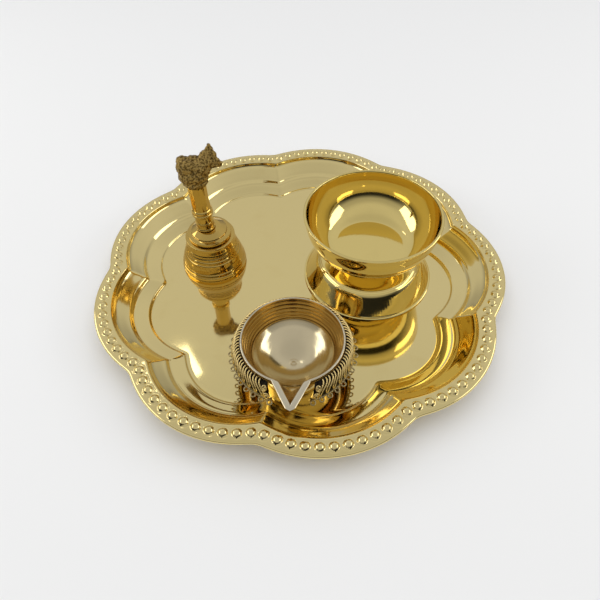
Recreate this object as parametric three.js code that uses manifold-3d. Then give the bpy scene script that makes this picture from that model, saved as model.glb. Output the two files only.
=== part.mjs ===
// A brass puja thali set: a nine-lobed tray that carries a small oil lamp (diya), a pedestal cup and a hand bell.
// Millimetres, +Z up. The origin is on the ground under the centre of the tray; -Y is the side that the lamp's spout faces.
import * as THREE from "three";
import { mergeVertices } from "three/addons/utils/BufferGeometryUtils.js";
import Module from "manifold-3d";

const wasm = await Module();
wasm.setup();

// ---- Driving dimensions ----

const SEAM_GAP = 0.3; // between two pieces that are brazed or screwed together
const REST_GAP = 0.05; // under a piece that only stands on the tray

const tray = {
  lobes: 9,
  turn: THREE.MathUtils.degToRad(38.5), // where the first lobe's middle points, from +X
  lobeRing: 48.6, // radius of the circle that the lobes' own centres lie on
  lobeRadius: 51.4, // radius of one lobe's arc at the outer edge
  cuspSoftness: 0.022, // radians over which two neighbouring arcs run into each other
  sheet: 0.8,
  height: 13.2, // ground to the outer edge
  flangeWidth: 8,
  flangeCrown: 0.7, // how far the flange's middle rises over its edges
  shelfInset: 17, // outer edge to the foot of the wall
  shelfRise: 3, // shelf over the floor at the foot of the wall
  floorInset: 24.2, // outer edge to where the flat floor starts
  stepRise: 1.3, // shelf over the floor where the shelf ends
};

const cup = {
  bearing: THREE.MathUtils.degToRad(10.48), // where it stands, about the tray's axis from +X
  floorMargin: 5.36, // its foot to the edge of the tray's floor
  sheet: 0.9,
  rimRadius: 32.5,
  lipWidth: 1.3, // the turned-out lip at the rim
  height: 40.4,
  bottomRadius: 16.5, // flat part of the bowl's inside
  cornerRadius: 9, // between the flat bottom and the wall
  cornerTurn: THREE.MathUtils.degToRad(43), // slope where the corner runs into the wall
  depth: 22, // rim to the inside bottom
  footRadius: 32.3,
  footLip: 1.1, // width of the flat lip round the foot
  shoulderRadius: 26.5,
  shoulderHeight: 9.5,
  waistRadius: 14.6,
};

const lamp = {
  bearing: THREE.MathUtils.degToRad(-94.32),
  floorMargin: 6.78,
  turn: THREE.MathUtils.degToRad(-2.3), // the spout's heading from -Y, towards -X
  wall: 1.2,
  rimRadius: 22.3,
  clearance: 2.2, // the bowl's underside over the tray's floor
  ledgeRadius: 17.2,
  ledgeDrop: 8.2, // rim to the ledge between the flared wall and the round bowl
  depth: 19.2, // rim to the lowest point of the bowl's inside
  spoutReach: 34.2, // from the lamp's axis to the spout's tip
  spoutHalfWidth: 8.2, // at its shoulders
  shoulderReach: 22.8, // from the lamp's axis to the line between the shoulders
  spoutSpread: THREE.MathUtils.degToRad(42), // from the spout's middle to where the round rim starts to run out
  spoutDepth: 8.5,
  keelWidth: 0.5, // the spout's underside as a share of its top
  keelReach: 0.62,
  footRadius: 14.5,
  footTopRadius: 11.6,
  footWall: 1.6,
};

const skirt = {
  thickness: 1.1,
  topDrop: 1.9, // lamp's rim to the skirt's top edge
  flare: 4.6, // how far the belly stands out past the lamp's rim
  fringeDrop: 10.6, // lamp's rim to the ring fringe's middle
  fringeRings: 30,
  fringeRingRadius: 1.5,
  fringeRingDepth: 1.3,
  spoutGap: 0.6, // free space between the skirt's ends and the spout
  openingHalfWidth: 6, // least opening at the belly, however short the spout is
};

const bell = {
  bearing: THREE.MathUtils.degToRad(159.3),
  floorMargin: 11.08,
  mouthRadius: 16.6,
  wall: 1.8,
  waistRadius: 12.1,
  waistHeight: 17.6, // where the flare ends and the two turned steps begin
  lowerStepRadius: 12.4,
  upperStepRadius: 10.9,
  stepHeight: 2.7, // one turned step with the groove over it
  coneHeight: 1.6, // the crown's slope from the upper step to the handle
  studRadius: 2,
};

const handle = {
  collarRadius: 4.8,
  collarHeight: 8.5,
  beadRadius: 5.1,
  beadHeight: 4,
  shaftRadius: 4.5,
  top: 50.7, // shaft's top over the bell's mouth
  sides: 10,
  offset: 1.3, // the casting stands this far off the bell's axis, towards -X
  lean: Math.tan(THREE.MathUtils.degToRad(1.5)), // and leans by this much for each millimetre up
};

const finial = {
  pegRadius: 2,
  pegDepth: 3,
  neckHalfWidth: 5.6,
  halfWidth: 7.2,
  height: 13.4,
  crestReach: 12.6, // axis to the tip of the pointed wing
  crestRise: 5.2, // the wing's point over the body's top
  depth: 8.4,
};

const clapper = {
  nutRadius: 3.4,
  nutHeight: 2.4,
  eyeRadius: 1.5,
  eyeWire: 0.5,
  linkRadius: 1.9,
  linkWire: 0.45,
  ringRadius: 1.3,
  ringWire: 0.45,
  playAtEye: 0.25, // free space between the eye and the link
  playAtRing: 0.2, // free space between the link and the clapper's ring
  rodRadius: 0.85,
  bobRadius: 3.4,
  bobClearance: 1, // bob's underside over the bell's mouth
};

const FLOOR_TOP = tray.sheet;
const ROUND = 40; // sides of the larger round pieces
const SMALL_ROUND = 24;

// ---- Materials ----

const sheetBrass = new THREE.MeshStandardMaterial({ color: 0xd6bd74, roughness: 0.12, metalness: 1 });
const turnedBrass = new THREE.MeshStandardMaterial({ color: 0xd9c698, roughness: 0.18, metalness: 1 });
const antiqueBrass = new THREE.MeshStandardMaterial({ color: 0x8a6c30, roughness: 0.45, metalness: 1 });
const castBrass = new THREE.MeshStandardMaterial({ color: 0xa98443, roughness: 0.5, metalness: 1 });
const bellBrass = new THREE.MeshStandardMaterial({ color: 0xcda24a, roughness: 0.2, metalness: 1 });

// ---- Helpers ----

const vec = (x, y) => new THREE.Vector2(x, y);

/** Points of a smooth curve through the given [x, y] pairs. */
function smooth(pairs, pieces) {
  return new THREE.SplineCurve(pairs.map(([x, y]) => vec(x, y))).getPoints(pieces);
}

/** Points of a circular arc from one angle to another, in degrees. */
function arc(x, y, radius, fromDegrees, toDegrees, pieces) {
  const [from, to] = [fromDegrees, toDegrees].map(THREE.MathUtils.degToRad);
  const path = new THREE.EllipseCurve(x, y, radius, radius, from, to, to < from);
  return path.getPoints(pieces);
}

/** The same surface line moved by `thickness` to the underside, for a line that runs from the axis outwards. */
function undersideOf(line, thickness) {
  return line.map((point, i) => {
    const before = line[Math.max(i - 1, 0)];
    const after = line[Math.min(i + 1, line.length - 1)];
    const inward = point.clone().sub(before).normalize();
    const outward = after.clone().sub(point).normalize();
    const along = inward.add(outward).normalize();
    if (i === 0) along.set(1, 0);
    const edge = (i === 0 ? outward : point.clone().sub(before).normalize()).dot(along);
    const reach = thickness / Math.max(edge, 0.7);
    return vec(Math.max(point.x + along.y * reach, 0), point.y - along.x * reach);
  });
}

/** Closed profile of a sheet piece whose upper or inner surface is `line`, from the axis outwards. */
function sheetProfile(line, thickness) {
  return [...undersideOf(line, thickness), ...line.slice().reverse()];
}

/** A profile turned about +Z. A profile runs anticlockwise: up on its outside and back down on its inside. */
function turned(profile, sides = ROUND) {
  const closing = profile[0].x > 0 ? [profile[0]] : [];
  return new THREE.LatheGeometry([...profile, ...closing], sides).rotateX(Math.PI / 2);
}

/** A closed geometry as a manifold-3d solid. */
function solidFrom(geometry) {
  const bare = geometry.clone();
  bare.deleteAttribute("normal");
  bare.deleteAttribute("uv");
  const merged = mergeVertices(bare, 1e-4);
  return new wasm.Manifold(
    new wasm.Mesh({
      numProp: 3,
      vertProperties: new Float32Array(merged.attributes.position.array),
      triVerts: new Uint32Array(merged.index.array),
    }),
  );
}

/** A manifold-3d solid as a three.js geometry. */
function geometryFrom(solid) {
  const mesh = solid.getMesh();
  const geometry = new THREE.BufferGeometry();
  geometry.setAttribute("position", new THREE.BufferAttribute(mesh.vertProperties, 3));
  geometry.setIndex(new THREE.BufferAttribute(mesh.triVerts, 1));
  geometry.computeVertexNormals();
  return geometry;
}

function named(name, geometry, material) {
  const mesh = new THREE.Mesh(geometry, material);
  mesh.name = name;
  return mesh;
}

/** A group that stands on the tray's floor, with its foot the stated margin inside the floor's edge. */
function standing({ bearing, floorMargin }, footRadius, ...meshes) {
  const group = new THREE.Group();
  const reach = lobedRadius(bearing, tray.floorInset) - footRadius - floorMargin;
  group.position.set(reach * Math.cos(bearing), reach * Math.sin(bearing), FLOOR_TOP + REST_GAP);
  group.add(...meshes);
  return group;
}

// ---- Tray ----

/** Distance from the tray's axis to the line `inset` inside its lobed edge, at an angle about the axis. */
function lobedRadius(angle, inset) {
  const span = (2 * Math.PI) / tray.lobes;
  const turn = THREE.MathUtils.euclideanModulo(angle - tray.turn + span / 2, span) - span / 2;
  const fromCusp = span / 2 - Math.abs(turn);
  const softened = Math.max(span / 2 - Math.hypot(fromCusp, tray.cuspSoftness), 0);
  const side = tray.lobeRing * Math.sin(softened);
  return tray.lobeRing * Math.cos(softened) + Math.sqrt((tray.lobeRadius - inset) ** 2 - side ** 2);
}

function trayGeometry() {
  const outer = tray.lobeRing + tray.lobeRadius;
  const edge = tray.height;
  const shelf = FLOOR_TOP + tray.shelfRise;
  const flangeFoot = edge - 0.9;
  const top = [
    vec(0, FLOOR_TOP),
    vec(outer - tray.floorInset, FLOOR_TOP),
    vec(outer - tray.floorInset + 1.3, FLOOR_TOP + tray.stepRise),
    vec(outer - tray.shelfInset - 1.5, shelf - 0.3),
    ...smooth(
      [
        [outer - tray.shelfInset, shelf],
        [outer - tray.flangeWidth - 5.6, shelf + 2],
        [outer - tray.flangeWidth - 2, flangeFoot - 2.8],
        [outer - tray.flangeWidth, flangeFoot],
      ],
      5,
    ),
    vec(outer - tray.flangeWidth * 0.55, edge + tray.flangeCrown),
    vec(outer - tray.flangeWidth * 0.2, edge + tray.flangeCrown * 0.6),
    vec(outer, edge - 0.4),
  ];
  const sides = tray.lobes * 10;
  const geometry = turned(sheetProfile(top, tray.sheet), sides);
  const position = geometry.attributes.position;
  for (let i = 0; i < position.count; i++) {
    const [x, y] = [position.getX(i), position.getY(i)];
    const radius = Math.hypot(x, y);
    if (radius < 1e-6) continue;
    const angle = Math.atan2(y, x);
    const inset = Math.min(outer - radius, tray.floorInset);
    const scale = lobedRadius(angle, inset) / (outer - inset);
    position.setXY(i, x * scale, y * scale);
  }
  return geometry;
}

// ---- Pedestal cup ----

const cupBottom = cup.height - cup.depth; // inside bottom over the tray's floor

function cupBowlGeometry() {
  const cornerTop = cupBottom + cup.cornerRadius * (1 - Math.cos(cup.cornerTurn));
  const wallFoot = vec(cup.bottomRadius + cup.cornerRadius * Math.sin(cup.cornerTurn), cornerTop);
  const wallTop = vec(cup.rimRadius - cup.lipWidth, cup.height - 0.3);
  const bend = vec(wallTop.x, wallFoot.y + (wallTop.x - wallFoot.x) * Math.tan(cup.cornerTurn));
  const wall = new THREE.QuadraticBezierCurve(wallFoot, bend, wallTop);
  const corner = arc(
    cup.bottomRadius,
    cupBottom + cup.cornerRadius,
    cup.cornerRadius,
    -90,
    THREE.MathUtils.radToDeg(cup.cornerTurn) - 90,
    3,
  );
  const lip = [vec(wallTop.x + cup.lipWidth * 0.4, cup.height), vec(cup.rimRadius, cup.height - 0.3)];
  const inside = [vec(0, cupBottom), ...corner, ...wall.getPoints(7).slice(1), ...lip];
  return turned(sheetProfile(inside, cup.sheet));
}

function cupFootGeometry() {
  const top = cupBottom - cup.sheet - SEAM_GAP;
  const outside = [
    vec(0, top),
    vec(cup.waistRadius - 2, top),
    ...smooth(
      [
        [cup.waistRadius - 0.6, top - 0.6],
        [cup.waistRadius + 1, top - 2.4],
        [cup.shoulderRadius - 4, cup.shoulderHeight + 2.6],
        [cup.shoulderRadius, cup.shoulderHeight],
        [cup.footRadius - cup.footLip - 1.6, cup.shoulderHeight * 0.45],
        [cup.footRadius - cup.footLip, cup.sheet + 0.3],
      ],
      9,
    ),
    vec(cup.footRadius, cup.sheet),
  ];
  return turned(sheetProfile(outside, cup.sheet));
}

// ---- Oil lamp ----

const lampAxisFloor = lamp.clearance + lamp.wall; // inside bottom over the tray's floor
const lampHeight = lampAxisFloor + lamp.depth;
const skirtBelly = lamp.rimRadius + skirt.flare;

/** The half profile of the lamp's inside or outside, from its lowest point up, grown by `grow`. */
function lampProfile(grow) {
  const ledge = lampHeight - lamp.ledgeDrop;
  const rise = ledge - lampAxisFloor;
  const sphere = (lamp.ledgeRadius ** 2 + rise ** 2) / (2 * rise);
  const reach = sphere + grow;
  const centre = lampAxisFloor + sphere;
  const stop = THREE.MathUtils.radToDeg(Math.asin((ledge - centre) / reach));
  return [
    ...arc(0, centre, reach, -90, stop, 9),
    vec(lamp.rimRadius - lamp.wall + grow, lampHeight),
  ];
}

/** An upright prism over the spout's outline, from the bowl's axis to the spout's tip, grown by `grow`. */
function spoutPrism(grow, bottom, top) {
  const halfAngle = Math.atan(lamp.spoutHalfWidth / (lamp.spoutReach - lamp.shoulderReach));
  const shoulder = lamp.spoutHalfWidth + grow / Math.cos(halfAngle);
  const rim = lamp.rimRadius + grow;
  const half = [
    [rim * Math.sin(lamp.spoutSpread), -rim * Math.cos(lamp.spoutSpread)],
    [shoulder, -lamp.shoulderReach],
  ];
  const outline = new THREE.Shape([
    ...half.map(([x, y]) => vec(-x, y)),
    vec(0, -lamp.spoutReach - grow / Math.sin(halfAngle)),
    ...half.map(([x, y]) => vec(x, y)).reverse(),
    vec(0, 0),
  ]);
  const prism = new THREE.ExtrudeGeometry(outline, { depth: top - bottom, bevelEnabled: false });
  return prism.translate(0, 0, bottom);
}

/** The same prism with its lower end drawn in, as a boat's keel is. */
function spoutHull(grow, bottom, top) {
  const hull = spoutPrism(grow, bottom, top);
  const position = hull.attributes.position;
  for (let i = 0; i < position.count; i++) {
    if (position.getZ(i) > (bottom + top) / 2) continue;
    position.setX(i, position.getX(i) * lamp.keelWidth);
    position.setY(i, position.getY(i) * lamp.keelReach);
  }
  return hull;
}

function lampBowlGeometry() {
  const over = 1; // the cutting bodies reach this far over the rim
  const outside = lampProfile(lamp.wall);
  const inside = lampProfile(0);
  const slope = (lamp.rimRadius - lamp.wall - lamp.ledgeRadius) / lamp.ledgeDrop;
  const mouth = vec(lamp.rimRadius - lamp.wall + slope * over, lampHeight + over);
  const body = solidFrom(turned([...outside, vec(0, lampHeight)]));
  const hollow = solidFrom(turned([...inside.slice(0, -1), mouth, vec(0, mouth.y)]));
  const keel = lampHeight - lamp.spoutDepth;
  const spout = solidFrom(spoutHull(0, keel, lampHeight));
  const trough = solidFrom(spoutHull(-lamp.wall, keel + lamp.wall * 1.5, lampHeight + over));
  return geometryFrom(body.add(spout).subtract(hollow).subtract(trough));
}

function lampFootGeometry() {
  const ledge = lampHeight - lamp.ledgeDrop;
  const rise = ledge - lampAxisFloor;
  const sphere = (lamp.ledgeRadius ** 2 + rise ** 2) / (2 * rise);
  const outer = sphere + lamp.wall + SEAM_GAP;
  const under = (radius) => lampAxisFloor + sphere - Math.sqrt(outer ** 2 - radius ** 2);
  const inner = lamp.footTopRadius - lamp.footWall;
  return turned([
    vec(inner, 0),
    vec(lamp.footRadius, 0),
    vec(lamp.footRadius, 1),
    vec(lamp.footTopRadius + 0.6, 2.6),
    vec(lamp.footTopRadius, under(lamp.footTopRadius) - 0.02),
    vec(inner, under(inner) - 0.02),
  ]);
}

function lampSkirtGeometry() {
  const top = lampHeight - skirt.topDrop;
  const bottom = lampHeight - skirt.fringeDrop;
  const slope = (lamp.rimRadius - lamp.wall - lamp.ledgeRadius) / lamp.ledgeDrop;
  const seat = lamp.rimRadius - slope * skirt.topDrop + SEAM_GAP; // skirt's top edge, clear of the bowl
  const inside = smooth(
    [
      [seat, top],
      [seat + 2.6, top - 1.9],
      [skirtBelly - skirt.thickness, (top + bottom) / 2 - 0.6],
      [skirtBelly - skirt.thickness - 0.4, bottom],
    ],
    6,
  );
  const outside = smooth(
    [
      [skirtBelly - 0.4, bottom],
      [skirtBelly, (top + bottom) / 2 - 0.6],
      [seat + 3.4, top - 1],
      [seat + 0.9, top + 0.4],
    ],
    6,
  );
  let band = solidFrom(turned([...inside, ...outside]));
  const ring = new THREE.CylinderGeometry(
    skirt.fringeRingRadius,
    skirt.fringeRingRadius,
    skirt.fringeRingDepth,
    8,
  );
  for (let i = 0; i < skirt.fringeRings; i++) {
    const angle = ((i + 0.5) / skirt.fringeRings) * 2 * Math.PI;
    const placed = ring
      .clone()
      .translate(0, skirtBelly - skirt.thickness / 2, 0)
      .rotateZ(angle)
      .translate(0, 0, bottom);
    band = band.add(solidFrom(placed));
  }
  const gap = spoutPrism(skirt.spoutGap, 0, lampHeight * 2);
  const reach = skirtBelly + skirt.fringeRingDepth;
  const opening = new THREE.BoxGeometry(2 * skirt.openingHalfWidth, reach, lampHeight * 3);
  opening.translate(0, -reach / 2, 0);
  return geometryFrom(band.subtract(solidFrom(gap)).subtract(solidFrom(opening)));
}

// ---- Hand bell ----

const stepFoot = bell.waistHeight;
const crownFoot = stepFoot + 2 * bell.stepHeight;
const crownTop = crownFoot + bell.coneHeight;
const crownRadius = handle.collarRadius + handle.offset;
const crownUnder = crownFoot - 0.4;

function bellDomeGeometry() {
  const { mouthRadius, waistRadius, lowerStepRadius, upperStepRadius, stepHeight } = bell;
  const inner = mouthRadius - bell.wall;
  const bore = bell.studRadius + SEAM_GAP;
  return turned(
    [
      vec(inner, 0),
      vec(mouthRadius - 0.5, 0),
      vec(mouthRadius, 0.8),
      vec(mouthRadius, 1.8),
      ...smooth(
        [
          [mouthRadius - 0.4, 3],
          [mouthRadius - 1.1, 6],
          [waistRadius + 1.6, 11],
          [waistRadius, bell.waistHeight],
        ],
        5,
      ),
      vec(lowerStepRadius, stepFoot + 0.6),
      vec(lowerStepRadius, stepFoot + 1.9),
      vec(upperStepRadius - 0.4, stepFoot + stepHeight),
      vec(upperStepRadius, stepFoot + stepHeight + 0.5),
      vec(upperStepRadius, stepFoot + stepHeight + 1.9),
      vec(upperStepRadius - 1.6, crownFoot),
      vec(crownRadius, crownTop),
      vec(bore, crownTop),
      vec(bore, crownUnder),
      ...smooth(
        [
          [upperStepRadius - 4.6, crownUnder - 0.2],
          [upperStepRadius - bell.wall - 0.4, crownUnder - 3],
          [waistRadius - bell.wall + 0.2, stepFoot - 4],
          [inner - 1.6, 5],
          [inner, 0],
        ],
        8,
      ).slice(0, -1),
    ],
    ROUND,
  );
}

const collarFoot = crownTop + SEAM_GAP;
const collarTop = collarFoot + handle.collarHeight;
const beadTop = collarTop + handle.beadHeight;

/** Sets the casting off the bell's axis and leans it, both towards -X. */
function leaned(geometry) {
  const position = geometry.attributes.position;
  for (let i = 0; i < position.count; i++) {
    const lift = position.getZ(i) - collarFoot;
    position.setX(i, position.getX(i) - handle.offset - lift * handle.lean);
  }
  return geometry;
}

const nutTop = crownUnder - SEAM_GAP;
const nutFoot = nutTop - clapper.nutHeight;
const eyeCentre = nutFoot - clapper.eyeRadius + clapper.eyeWire * 0.6;
const studEnd = eyeCentre + clapper.eyeRadius + clapper.eyeWire + SEAM_GAP;

function bellHandleGeometry() {
  const stud = turned(
    [
      vec(0, studEnd),
      vec(bell.studRadius, studEnd),
      vec(bell.studRadius, collarFoot + 1),
      vec(0, collarFoot + 1),
    ],
    SMALL_ROUND,
  );
  const round = turned(
    [
      vec(0, collarFoot),
      vec(handle.collarRadius - 0.3, collarFoot),
      vec(handle.collarRadius, collarFoot + 0.5),
      vec(handle.shaftRadius, collarFoot + 1.8),
      vec(handle.shaftRadius, collarTop),
      vec(handle.beadRadius, collarTop + 0.7),
      vec(handle.beadRadius, beadTop - 0.9),
      vec(handle.shaftRadius, beadTop),
      vec(0, beadTop),
    ],
    SMALL_ROUND,
  );
  const socketFoot = handle.top - finial.pegDepth - SEAM_GAP;
  const shaft = turned(
    [
      vec(0, beadTop - 1),
      vec(handle.shaftRadius, beadTop - 1),
      vec(handle.shaftRadius * 0.94, (beadTop + handle.top) / 2),
      vec(handle.shaftRadius, handle.top),
      vec(finial.pegRadius + SEAM_GAP, handle.top),
      vec(finial.pegRadius + SEAM_GAP, socketFoot),
      vec(0, socketFoot),
    ],
    handle.sides,
  );
  const casting = leaned(geometryFrom(solidFrom(round).add(solidFrom(shaft))));
  return geometryFrom(solidFrom(casting).add(solidFrom(stud)));
}

/** The cast crest on the handle: a rounded body with a flat top and one pointed wing, on a peg. */
function bellFinialGeometry() {
  const foot = handle.top + SEAM_GAP;
  const top = finial.height;
  const outline = new THREE.Shape([
    vec(-finial.neckHalfWidth, 0),
    vec(finial.neckHalfWidth, 0),
    vec(finial.halfWidth * 0.86, top * 0.2),
    vec(finial.halfWidth, top * 0.55),
    vec(finial.crestReach, top * 0.76),
    vec(finial.crestReach * 0.68, top + finial.crestRise),
    vec(finial.crestReach * 0.27, top * 0.97),
    vec(-finial.halfWidth * 0.7, top),
    vec(-finial.halfWidth, top * 0.66),
    vec(-finial.halfWidth * 0.88, top * 0.2),
  ]);
  const bevel = 1.6;
  const body = new THREE.ExtrudeGeometry(outline, {
    depth: finial.depth - 2 * bevel,
    bevelThickness: bevel,
    bevelSize: bevel,
    bevelOffset: -bevel,
    bevelSegments: 2,
  });
  body.translate(0, 0, bevel - finial.depth / 2).rotateX(Math.PI / 2);
  body.translate(0, 0, foot);
  const peg = turned(
    [
      vec(0, handle.top - finial.pegDepth),
      vec(finial.pegRadius, handle.top - finial.pegDepth),
      vec(finial.pegRadius, foot + 1),
      vec(0, foot + 1),
    ],
    handle.sides,
  );
  return leaned(geometryFrom(solidFrom(body).add(solidFrom(peg))));
}

// ---- Clapper ----

const eyeBar = eyeCentre - clapper.eyeRadius;
const linkTop = eyeBar + clapper.eyeWire + clapper.playAtEye + clapper.linkWire;
const linkCentre = linkTop - clapper.linkRadius;
const linkBar = linkCentre - clapper.linkRadius;
const ringTop = linkBar + clapper.linkWire + clapper.playAtRing + clapper.ringWire;
const ringCentre = ringTop - clapper.ringRadius;
const bobCentre = clapper.bobClearance + clapper.bobRadius;

/** A wire ring about the Y axis, or about the X axis when `across` is true. */
function wireRing(radius, wire, height, across) {
  const ring = new THREE.TorusGeometry(radius, wire, 6, 16).rotateX(Math.PI / 2);
  if (across) ring.rotateZ(Math.PI / 2);
  return ring.translate(0, 0, height);
}

function bellHangerGeometry() {
  const bore = bell.studRadius + SEAM_GAP;
  const nut = turned(
    [
      vec(0, nutFoot),
      vec(clapper.nutRadius - 0.3, nutFoot),
      vec(clapper.nutRadius, nutFoot + 0.4),
      vec(clapper.nutRadius, nutTop),
      vec(bore, nutTop),
      vec(bore, studEnd - SEAM_GAP),
      vec(0, studEnd - SEAM_GAP),
    ],
    SMALL_ROUND,
  );
  const eye = wireRing(clapper.eyeRadius, clapper.eyeWire, eyeCentre, true);
  return geometryFrom(solidFrom(nut).add(solidFrom(eye)));
}

function clapperGeometry() {
  const ring = wireRing(clapper.ringRadius, clapper.ringWire, ringCentre, true);
  const rodTop = ringCentre - clapper.ringRadius;
  const bob = turned(
    [
      ...arc(0, bobCentre, clapper.bobRadius, -90, 72, 9),
      vec(clapper.rodRadius, rodTop - 0.4),
      vec(0, rodTop + 0.1),
    ],
    20,
  );
  return geometryFrom(solidFrom(ring).add(solidFrom(bob)));
}

// ---- Assembly ----

const thaliSet = new THREE.Group();
thaliSet.add(named("thali_tray", trayGeometry(), sheetBrass));

thaliSet.add(
  standing(
    cup,
    cup.footRadius,
    named("cup_bowl", cupBowlGeometry(), sheetBrass),
    named("cup_foot", cupFootGeometry(), sheetBrass),
  ),
);

const oilLamp = standing(
  lamp,
  lamp.footRadius,
  named("lamp_bowl", lampBowlGeometry(), turnedBrass),
  named("lamp_foot", lampFootGeometry(), antiqueBrass),
  named("lamp_skirt", lampSkirtGeometry(), antiqueBrass),
);
oilLamp.rotation.z = lamp.turn;
thaliSet.add(oilLamp);

thaliSet.add(
  standing(
    bell,
    bell.mouthRadius,
    named("bell_dome", bellDomeGeometry(), bellBrass),
    named("bell_handle", bellHandleGeometry(), bellBrass),
    named("bell_finial", bellFinialGeometry(), castBrass),
    named("bell_hanger", bellHangerGeometry(), bellBrass),
    named("clapper_link", wireRing(clapper.linkRadius, clapper.linkWire, linkCentre, false), bellBrass),
    named("clapper", clapperGeometry(), bellBrass),
  ),
);

export default thaliSet;
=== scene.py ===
"""A brass puja thali set: lobed tray, spouted oil lamp, pedestal cup and hand bell. Metres, +Z up."""

import math

import bmesh
import bpy
from mathutils import Matrix, Vector, noise


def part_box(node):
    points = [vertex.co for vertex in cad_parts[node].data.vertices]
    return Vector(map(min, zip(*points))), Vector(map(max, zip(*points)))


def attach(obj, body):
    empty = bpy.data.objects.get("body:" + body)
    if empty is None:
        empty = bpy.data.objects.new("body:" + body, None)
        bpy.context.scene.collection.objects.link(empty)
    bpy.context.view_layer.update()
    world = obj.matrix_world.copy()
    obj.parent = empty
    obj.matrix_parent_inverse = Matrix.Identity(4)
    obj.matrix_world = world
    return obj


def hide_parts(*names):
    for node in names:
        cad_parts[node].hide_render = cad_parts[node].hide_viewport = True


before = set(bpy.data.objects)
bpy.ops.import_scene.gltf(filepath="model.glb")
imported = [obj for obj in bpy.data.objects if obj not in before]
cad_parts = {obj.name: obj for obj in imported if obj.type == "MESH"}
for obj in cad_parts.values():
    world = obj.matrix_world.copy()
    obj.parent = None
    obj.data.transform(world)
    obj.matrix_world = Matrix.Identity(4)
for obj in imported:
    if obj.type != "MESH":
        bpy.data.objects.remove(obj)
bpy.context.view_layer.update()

MM = 0.001

# ---- Driving dimensions, in millimetres ----

LOBES = 9
LOBE_TURN = math.radians(38.5)
LOBE_RING = 48.6
LOBE_RADIUS = 51.4
TRAY_SHEET = 0.8
FLANGE_WIDTH = 8.0
BEADS_PER_LOBE = 12
BEAD_INSET = 4.2
BEAD_RADIUS = 1.95
BEAD_HEIGHT = 1.4
BEAD_BAND = (1.0, 7.4)
BEAD_GROOVE_DEPTH = 0.14
FLANGE_DROP = 0.8
TRAY_STEPS_PER_BEAD = 10
SHELF_INSET = 17.0
STEP_INSET = 22.7
FLOOR_INSET = 24.2

LAMP_WALL = 0.85
LAMP_LEDGE_RADIUS = 17.6
LAMP_LEDGE_DROP = 10.4
LAMP_DEPTH = 19.2
LAMP_RIM_RADIUS = 22.3
LAMP_FLOOR_SPHERE = 20.6
LAMP_FLOOR_TURN = math.radians(33)
LAMP_WALL_RINGS = 5
SPOUT_REACH = 34.2
SPOUT_TIP_HALF_WIDTH = 2.0
SPOUT_HALF_WIDTH = 7.5
SPOUT_SHOULDER = 21.9
SPOUT_SPREAD = math.radians(20.5)
SPOUT_TURN = math.radians(-2.3)
SPOUT_WALL = 2.5

# (radius, distance under the lamp's rim)
SKIRT_PROFILE = ((22.5, 1.7), (24.9, 3.2), (26.2, 6.4), (26.0, 9.8))
SKIRT_PETALS = 40
SKIRT_RINGS = 40
SKIRT_OPENING = math.radians(25)
SKIRT_PETAL_LEAN = math.radians(9)
SKIRT_PETAL_WIDTH = math.radians(2.05)
SKIRT_RING_RADIUS = 1.0

CUP_RIM_RADIUS = 32.5
CUP_DEPTH = 22.0
CUP_FLAT_RADIUS = 16.5
CUP_CORNER_RADIUS = 9.0
CUP_CORNER_TURN = math.radians(43)
CUP_BOWL_SHEET = 0.9
CUP_FOOT_SHEET = 0.75
CUP_SEAM = 0.3
CUP_STEPS = 160

STEP_FOOT = 17.6
HANDLE_OFFSET = 1.3
HANDLE_LEAN = math.tan(math.radians(1.5))
SHAFT_SIDES = 10
BELL_GROOVES = (3.4, 5.3, 10.3, 12.1, 13.9, 15.5)
GROOVE_DEPTH = 0.26
GROOVE_WIDTH = 0.22
FINIAL_VOXEL = 0.28
BELL_FLARE = (
    (16.4, 1.8),
    (16.35, 3.2),
    (16.0, 4.9),
    (15.2, 7.6),
    (14.0, 10.9),
    (13.0, 14.2),
    (12.2, STEP_FOOT),
)


# ---- Places, from the frame ----


def axis_of(node):
    """The point on the ground side of a round node, on its axis, in millimetres."""
    low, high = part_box(node)
    return Vector(((low[0] + high[0]) / 2, (low[1] + high[1]) / 2, low[2])) / MM


def top_of(node):
    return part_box(node)[1][2] / MM


TRAY_EDGE = top_of("thali_tray") - FLANGE_DROP
CUP_AT = axis_of("cup_foot")
LAMP_AT = axis_of("lamp_foot")
BELL_AT = axis_of("bell_dome")
CUP_HEIGHT = top_of("cup_bowl") - CUP_AT.z
LAMP_HEIGHT = top_of("lamp_bowl") - LAMP_AT.z
CROWN_HEIGHT = top_of("bell_dome") - BELL_AT.z
HANDLE_HEIGHT = top_of("bell_handle") - BELL_AT.z
CUP_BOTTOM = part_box("cup_bowl")[0][2] / MM - CUP_AT.z


# ---- Mesh helpers ----


def between(p, q, r, s, t):
    """The Catmull-Rom value and its slope at share t of the way from q to r."""
    bend = 2 * p - 5 * q + 4 * r - s
    twist = 3 * q - p - 3 * r + s
    value = 0.5 * (2 * q + (r - p) * t + bend * t * t + twist * t**3)
    slope = 0.5 * ((r - p) + 2 * bend * t + 3 * twist * t * t)
    return value, slope


def smooth_curve(points, steps):
    """Points of a Catmull-Rom curve through the given tuples."""
    ends = [points[0], *points, points[-1]]
    out = []
    for four in zip(ends, ends[1:], ends[2:], ends[3:]):
        for k in range(steps):
            out.append(tuple(between(*values, k / steps)[0] for values in zip(*four)))
    return [*out, points[-1]]


def bent(start, corner, end, t):
    """The point at share t of a quadratic curve."""
    return tuple(start * (1 - t) ** 2 + corner * 2 * t * (1 - t) + end * t * t)


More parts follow.
